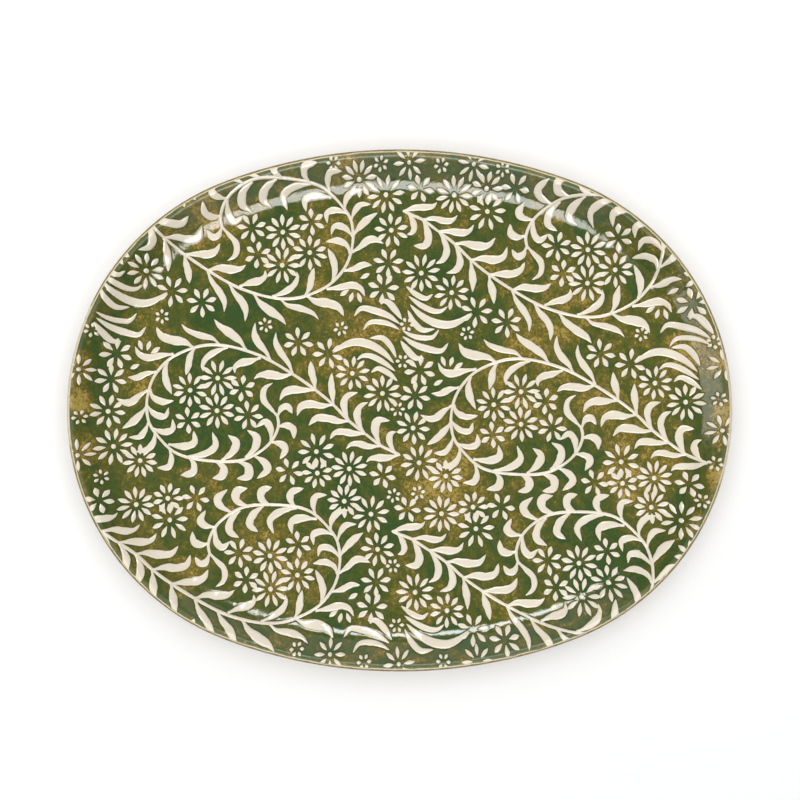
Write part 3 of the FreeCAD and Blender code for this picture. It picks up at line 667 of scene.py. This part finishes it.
def leaf_halves(width, shares, phase):
    """Half a leaf's width along it: a thin stalk, fullest past the middle, a point, and a cut edge."""
    body = width / 2 * np.sin(np.pi * shares**LEAF_SKEW) ** LEAF_FULLNESS
    stalk = STEM_WIDTH / 2 * (1 - shares / STALK_SHARE)
    cut = np.sin(9 * shares + phase) + 0.6 * np.sin(23 * shares + 2 * phase)
    halves = np.maximum(body * (1 + LEAF_WOBBLE * cut), stalk)
    halves[-1] = 0
    return halves


def petal(motifs, centre, inner, reach, angle, shape, put):
    """A petal that is pointed at both ends and fullest past its middle."""
    width, skew = shape
    shares = np.linspace(0, 1, PETAL_STEPS)
    cos, sin = math.cos(math.radians(angle)), math.sin(math.radians(angle))
    out = inner + (reach - inner) * shares
    line = put(np.stack([centre[0] + out * cos, centre[1] + out * sin], axis=1))
    halves = width / 2 * np.sin(np.pi * shares**skew) ** PETAL_FULLNESS
    halves[[0, -1]] = 0
    motifs.add(line, halves)


def flower(motifs, centre, petals, inner, reach, turn, shape, put):
    """A ring of petals, each a little longer or shorter, wider or narrower, and turned off true."""
    width, skew = shape
    for i in range(petals):
        jitter = math.sin(12.9 * i + centre[0] + 2.3 * centre[1])
        angle = turn + 360 * i / petals + 1.6 * jitter
        own_shape = (width * (1 - 0.06 * jitter), skew)
        petal(motifs, centre, inner, reach * (1 + 0.03 * jitter), angle, own_shape, put)


def stamped(kinds):
    """Every motif of the six impressions."""
    for impression in IMPRESSIONS:
        put = pressed(impression)
        shares = np.linspace(0, 1, VINE_STEPS)
        kinds["vine_stems"].add(smooth_line(put(VINE), VINE_STEPS), stem_halves(shares))
        shares = np.linspace(0, 1, LEAF_STEPS)
        for number, (width, midrib) in enumerate(LEAVES):
            line = smooth_line(put(midrib), LEAF_STEPS)
            kinds["vine_leaves"].add(line, leaf_halves(width, shares, number + impression[0]))
        shares = np.linspace(0, 1, PLUME_STEPS)
        for width, midrib in PLUMES:
            line = smooth_line(put(midrib), PLUME_STEPS)
            kinds["plume_leaves"].add(line, width / 2 * np.sin(np.pi * shares) ** PLUME_FULLNESS)
        for x, y, petals, inner, reach, turn in DAISIES:
            flower(kinds["daisies"], (x, y), petals, inner, reach, turn, DAISY_PETAL, put)
            kinds["daisies"].dot(put((x, y))[0], DAISY_DOT_RADIUS)
        for x, y, petals, inner, reach, turn in STARS:
            flower(kinds["stars"], (x, y), petals, inner, reach, turn, STAR_PETAL, put)
        for x, y, inner, reach, turn in LONE_PETALS:
            petal(kinds["stars"], (x, y), inner, reach, turn, LONE_PETAL, put)


def filled(motifs):
    """The blossoms and rim stars between the impressions."""
    for x, y, turn in BLOSSOMS:
        flower(motifs, (x, y), *BLOSSOM_RING, turn, BLOSSOM_PETAL, unpressed)
    for x, y, turn in RIM_STARS:
        flower(motifs, (x, y), *RIM_STAR_RING, turn, RIM_STAR_PETAL, unpressed)
        motifs.dot((x, y), RIM_STAR_DOT_RADIUS)


# Materials. A noise's shift is its seed: noises with the same size and shift are the same.

# A Mix node has sockets of one name for numbers, vectors and colours: these are its colour sockets
MIX_FIRST, MIX_OTHER, MIX_RESULT = 6, 7, 2

GLAZE_INDEX = 1.58
BARE_INDEX = 1.5
OCHRE_SPECK = (190, 162, 82)
DARK_SPECK = (60, 62, 22)
CREAM_STAIN = (206, 180, 140)
# Darkens the green next to the motifs: partly glaze that pools there, partly painted shade
POOLED_AND_SHADE_TINT = (206, 212, 200)
IRON_SPECK = (122, 92, 56)
DARK_SAND = (110, 84, 60)

# From glaze that pools to glaze that breaks thin
GLAZE_TONES = [
    (0.08, (56, 82, 35)),
    (0.34, (78, 90, 34)),
    (0.46, (91, 92, 33)),
    (0.62, (112, 104, 40)),
    (0.80, (133, 115, 46)),
    (0.98, (168, 145, 72)),
]


def linear(colour):
    """A colour given in 0 to 255 as linear light, with full alpha."""
    shares = [c / 255 for c in colour]
    return (*[c / 12.92 if c <= 0.04045 else ((c + 0.055) / 1.055) ** 2.4 for c in shares], 1.0)


class Shader:
    """A short way to write a material's node tree. A colour is three numbers, 0 to 255, or a socket."""

    def __init__(self, name):
        self.material = bpy.data.materials.new(name)
        self.material.use_nodes = True
        self.tree = self.material.node_tree
        self.surface = self.tree.nodes["Principled BSDF"]
        self.place = self.tree.nodes.new("ShaderNodeTexCoord").outputs["Object"]

    def link(self, source, target):
        self.tree.links.new(source, target)

    def feed(self, socket, value):
        """Sets a socket to a number or a colour, or links another socket to it."""
        if isinstance(value, tuple):
            socket.default_value = linear(value)
        elif isinstance(value, (int, float)):
            socket.default_value = value
        else:
            self.link(value, socket)

    def math(self, kind, one, other, clamp=False):
        node = self.tree.nodes.new("ShaderNodeMath")
        node.operation = kind
        node.use_clamp = clamp
        self.feed(node.inputs[0], one)
        self.feed(node.inputs[1], other)
        return node.outputs[0]

    def attribute(self, name):
        node = self.tree.nodes.new("ShaderNodeAttribute")
        node.attribute_name = name
        return node.outputs["Fac"]

    def noise(self, size, detail, roughness, distortion=0.0, shift=0.0):
        """Noise whose lumps are about this many millimetres across."""
        node = self.tree.nodes.new("ShaderNodeTexNoise")
        node.noise_dimensions = "4D"
        node.inputs["W"].default_value = shift
        node.inputs["Scale"].default_value = 1 / (size * MM)
        node.inputs["Detail"].default_value = detail
        node.inputs["Roughness"].default_value = roughness
        node.inputs["Distortion"].default_value = distortion
        self.link(self.place, node.inputs["Vector"])
        return node.outputs["Fac"]

    def ramp(self, value, stops):
        """Colours at these places between 0 and 1."""
        node = self.tree.nodes.new("ShaderNodeValToRGB")
        ramp = node.color_ramp
        while len(ramp.elements) < len(stops):
            ramp.elements.new(0.5)
        for element, (position, colour) in zip(ramp.elements, stops):
            element.position = position
            element.color = linear(colour)
        self.feed(node.inputs["Fac"], value)
        return node.outputs["Color"]

    def fade(self, value, dark, light):
        """From one colour to another over the middle of a noise's range."""
        return self.ramp(value, [(0.3, dark), (0.7, light)])

    def between(self, value, low, high, start=0.0, end=1.0):
        """A smooth step from start, where the value is low, to end, where it is high."""
        node = self.tree.nodes.new("ShaderNodeMapRange")
        node.interpolation_type = "SMOOTHSTEP"
        self.feed(node.inputs["Value"], value)
        node.inputs["From Min"].default_value = low
        node.inputs["From Max"].default_value = high
        node.inputs["To Min"].default_value = start
        node.inputs["To Max"].default_value = end
        return node.outputs["Result"]

    def mix(self, share, one, other, blend="MIX"):
        """The first colour, turning to the other as the share rises."""
        node = self.tree.nodes.new("ShaderNodeMix")
        node.data_type = "RGBA"
        node.blend_type = blend
        self.feed(node.inputs["Factor"], share)
        self.feed(node.inputs[MIX_FIRST], one)
        self.feed(node.inputs[MIX_OTHER], other)
        return node.outputs[MIX_RESULT]

    def scaled(self, value, factor, shift):
        """value x factor + shift"""
        node = self.tree.nodes.new("ShaderNodeMath")
        node.operation = "MULTIPLY_ADD"
        self.feed(node.inputs[0], value)
        node.inputs[1].default_value = factor
        node.inputs[2].default_value = shift
        return node.outputs[0]

    def about_zero(self, noise, factor):
        """A noise, which lies about a half, moved to lie about 0 and scaled."""
        return self.scaled(noise, factor, -factor / 2)

    def bump(self, height, strength, distance, under=None):
        node = self.tree.nodes.new("ShaderNodeBump")
        node.inputs["Strength"].default_value = strength
        node.inputs["Distance"].default_value = distance * MM
        self.link(height, node.inputs["Height"])
        if under is not None:
            self.link(under, node.inputs["Normal"])
        return node.outputs["Normal"]

    def finish(self, colour, roughness, normal, index):
        self.feed(self.surface.inputs["Base Color"], colour)
        self.feed(self.surface.inputs["Roughness"], roughness)
        self.surface.inputs["IOR"].default_value = index
        self.link(normal, self.surface.inputs["Normal"])
        return self.material


def glaze_colour(shader):
    """The mottled green: pooled deep green, olive, and ochre with specks where it is thin."""
    broad = shader.noise(24, 8.0, 0.64, distortion=1.4)
    small = shader.noise(4.5, 5.0, 0.68, distortion=1.2, shift=3.0)
    grain = shader.noise(1.5, 2.5, 0.6, distortion=0.4, shift=7.0)
    level = shader.scaled(shader.attribute("thin"), 0.36, 0.40)
    level = shader.math("ADD", level, shader.about_zero(broad, 2.1))
    level = shader.math("ADD", level, shader.about_zero(small, 1.3))
    level = shader.math("ADD", level, shader.about_zero(grain, 0.30), clamp=True)
    rich = shader.between(level, 0.45, 0.85)
    pale = shader.math("MULTIPLY", shader.between(grain, 0.54, 0.64), rich)
    dark = shader.math("MULTIPLY", shader.between(grain, 0.47, 0.38), shader.scaled(rich, 0.5, 0.2))
    colour = shader.ramp(level, GLAZE_TONES)
    colour = shader.mix(shader.math("MULTIPLY", pale, 0.65), colour, OCHRE_SPECK)
    colour = shader.mix(dark, colour, DARK_SPECK)
    return colour, level, grain


def glaze_surface(shader, grain):
    """Orange peel and fine grain in the glaze, as a normal, and how rough it is: duller near the rim."""
    ripple = shader.noise(7, 2.0, 0.5, shift=11.0)
    normal = shader.bump(ripple, 0.55, 0.6)
    normal = shader.bump(grain, 0.15, 0.08, normal)
    cloud = shader.noise(14, 3.0, 0.6, shift=5.0)
    rough = shader.between(cloud, 0.3, 0.7, 0.07, 0.17)
    rough = shader.math("ADD", rough, shader.math("MULTIPLY", shader.attribute("rim"), 0.45))
    return normal, rough


def glazed(shader, colour, grain):
    """The finished material of a glaze of this colour."""
    normal, rough = glaze_surface(shader, grain)
    return shader.finish(colour, rough, normal, GLAZE_INDEX)


def green_glaze():
    """The mottled glaze by itself."""
    shader = Shader("reactive_green_glaze")
    colour, _, grain = glaze_colour(shader)
    return glazed(shader, colour, grain)


def cream_glaze():
    """Cream on top of a motif, a brown line where the glaze breaks over its edge, green beyond, darker at
    its foot: pooled glaze and painted shade.
    """
    shader = Shader("raised_cream_glaze")
    green, level, grain = glaze_colour(shader)
    rag = shader.noise(1.6, 2.0, 0.6, shift=17.0)
    edge = shader.math("ADD", shader.attribute("edge"), shader.about_zero(rag, 0.4))
    cream = shader.fade(shader.noise(12, 3.0, 0.6, shift=21.0), (232, 221, 200), (238, 229, 211))
    stain = shader.math("MULTIPLY", shader.between(grain, 0.60, 0.75), 0.22)
    cream = shader.mix(stain, cream, CREAM_STAIN)
    brown = shader.ramp(level, [(0.2, (96, 104, 44)), (0.8, (166, 136, 58))])
    # Darker green just outside each motif: partly glaze pooled at its foot, partly painted shade.
    pooled_and_painted_shade = shader.mix(1.0, green, POOLED_AND_SHADE_TINT, "MULTIPLY")
    colour = shader.mix(shader.between(edge, 0.35, 1.2), pooled_and_painted_shade, green)
    colour = shader.mix(shader.between(edge, 0.45, 0.12), colour, brown)
    colour = shader.mix(shader.between(edge, 0.20, 0.02), colour, cream)
    return glazed(shader, colour, grain)


def lip_glaze():
    """Iron ochre where the glaze breaks over the lip, beige slip showing in places, and a painted highlight
    line.
    """
    shader = Shader("broken_lip_glaze")
    green, _, grain = glaze_colour(shader)
    rag = shader.noise(7, 4.0, 0.65, shift=31.0)
    around = shader.math("ADD", shader.attribute("around"), shader.about_zero(rag, 0.5))
    bare = shader.math("ADD", shader.attribute("bare"), shader.about_zero(rag, 0.9))
    beige = shader.fade(shader.noise(5, 4.0, 0.6, shift=33.0), (206, 188, 154), (228, 216, 192))
    brown = shader.fade(shader.noise(4, 4.0, 0.65, shift=35.0), (84, 76, 34), (158, 130, 68))
    # Painted highlight: a pale line along the lip's inner side, where the crest's gloss would shine.
    painted_highlight_line = shader.ramp(rag, [(0.3, (196, 178, 122)), (0.6, (236, 224, 184))])
    colour = shader.mix(shader.between(around, -0.10, 0.05), green, painted_highlight_line)
    colour = shader.mix(shader.between(around, 0.08, 0.20), colour, brown)
    colour = shader.mix(shader.between(bare, 0.2, 0.45), colour, beige)
    colour = shader.mix(shader.between(around, 0.75, 0.95), colour, beige)
    return glazed(shader, colour, grain)


def cream_underside(name):
    """Cream glaze with fine iron specks."""
    shader = Shader(name)
    colour = shader.fade(shader.noise(30, 4.0, 0.6, 0.3, shift=41.0), (214, 200, 174), (231, 220, 198))
    specks = shader.between(shader.noise(1.3, 1.0, 0.5, shift=43.0), 0.70, 0.76)
    colour = shader.mix(shader.math("MULTIPLY", specks, 0.7), colour, IRON_SPECK)
    return glazed(shader, colour, shader.noise(1.1, 2.0, 0.6, shift=45.0))


def bare_clay(name, dark, light):
    """Fired clay without glaze: sandy, matt, a little uneven in colour."""
    shader = Shader(name)
    tone = shader.noise(9, 5.0, 0.65, 0.2, shift=51.0)
    sand = shader.noise(0.5, 2.0, 0.6, shift=53.0)
    grains = shader.math("MULTIPLY", shader.between(sand, 0.62, 0.72), 0.5)
    colour = shader.mix(grains, shader.fade(tone, dark, light), DARK_SAND)
    rough = shader.between(tone, 0.3, 0.7, 0.75, 0.92)
    return shader.finish(colour, rough, shader.bump(sand, 0.5, 0.12), BARE_INDEX)


def clothe(node, material):
    """Gives a CAD node this material."""
    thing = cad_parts[node]
    thing.data.materials.clear()
    thing.data.materials.append(material)


# Stage, in metres

FLOOR_HALF = 12.0
CAMERA_HEIGHT = 1.0
SENSOR_WIDTH = 36.0
VIEW_WIDTH = 0.4964


def floor():
    """A plain pale floor under the platter."""
    half = FLOOR_HALF
    corners = [(-half, -half, 0), (half, -half, 0), (half, half, 0), (-half, half, 0)]
    mesh = bpy.data.meshes.new("floor")
    mesh.from_pydata(corners, [], [(0, 1, 2, 3)])
    shader = Shader("pale_floor")
    tone = shader.noise(400, 2.0, 0.5)
    colour = shader.fade(tone, (249, 249, 249), (252, 252, 252))
    mesh.materials.append(shader.finish(colour, 0.9, shader.bump(tone, 0.02, 0.1), BARE_INDEX))
    thing = bpy.data.objects.new("floor", mesh)
    bpy.context.scene.collection.objects.link(thing)


def softbox(name, place, aim, size, radiance, soft=True, mirrored=True):
    """A rectangular light of an even brightness that lights softly, shows in the gloss, or both."""
    light = bpy.data.lights.new(name, "AREA")
    light.shape = "RECTANGLE"
    light.size, light.size_y = size
    light.energy = radiance * math.pi * size[0] * size[1]
    thing = bpy.data.objects.new(name, light)
    thing.location = place
    facing = Vector(aim) - Vector(place)
    thing.rotation_mode = "QUATERNION"
    thing.rotation_quaternion = facing.to_track_quat("-Z", "Y")
    thing.visible_camera = False
    thing.visible_diffuse = soft
    thing.visible_glossy = mirrored
    bpy.context.scene.collection.objects.link(thing)


def camera():
    """Straight above the platter, a metre off the table, with the platter a little below the middle."""
    lens = bpy.data.cameras.new("camera")
    lens.sensor_width = SENSOR_WIDTH
    lens.lens = SENSOR_WIDTH * (CAMERA_HEIGHT - (HEIGHT - HALF) * MM) / VIEW_WIDTH
    lens.shift_x = 0.0006
    lens.shift_y = 0.0131
    thing = bpy.data.objects.new("camera", lens)
    thing.location = (0, 0, CAMERA_HEIGHT)
    bpy.context.scene.collection.objects.link(thing)
    bpy.context.scene.camera = thing


def lights():
    """Soft light from above, a box in front and a strip behind, and low cards all round but the right."""
    world = bpy.data.worlds.new("studio")
    world.use_nodes = True
    world.node_tree.nodes["Background"].inputs["Color"].default_value = (0.95, 0.98, 1.0, 1.0)
    world.node_tree.nodes["Background"].inputs["Strength"].default_value = 0.18
    bpy.context.scene.world = world
    table, lip_level = (0, 0, 0), (0, 0, 0.02)
    softbox("overhead", (0, 0, 2.0), table, (3.2, 3.0), 1.72, mirrored=False)
    softbox("back_soft", (0.2, 1.3, 1.3), table, (1.8, 1.0), 1.0, mirrored=False)
    softbox("front_box", (0.08, -1.15, 1.25), table, (1.3, 0.9), 8.5, soft=False)
    softbox("back_strip", (-0.07, 0.95, 1.1), table, (0.6, 0.32), 15.0, soft=False)
    softbox("back_card", (0.0, 1.7, 0.49), lip_level, (2.2, 0.40), 0.7)
    softbox("front_card", (0.0, -1.7, 0.45), lip_level, (2.2, 0.40), 0.6)
    softbox("left_card", (-1.5, -0.38, 0.53), lip_level, (1.15, 0.36), 2.4)


def main():
    green_top(green_glaze())
    lip(lip_glaze())
    underside(cream_underside("outside_cream_glaze"))
    foot(bare_clay("bare_foot_clay", (176, 148, 112), (203, 178, 142)))
    clothe("base_glaze", cream_underside("base_cream_glaze"))
    clothe("clay_body", bare_clay("stoneware_clay", (164, 138, 106), (190, 164, 130)))
    clothe("cream_slip", bare_clay("cream_slip_layer", (222, 208, 184), (236, 226, 206)))
    names = ("vine_stems", "vine_leaves", "plume_leaves", "daisies", "stars", "blossoms")
    kinds = {name: Motifs() for name in names}
    stamped(kinds)
    filled(kinds["blossoms"])
    cream = cream_glaze()
    for name, motifs in kinds.items():
        motifs.finish(name, cream)
    floor()
    lights()
    camera()
    bpy.context.scene.view_settings.view_transform = "Standard"


main()
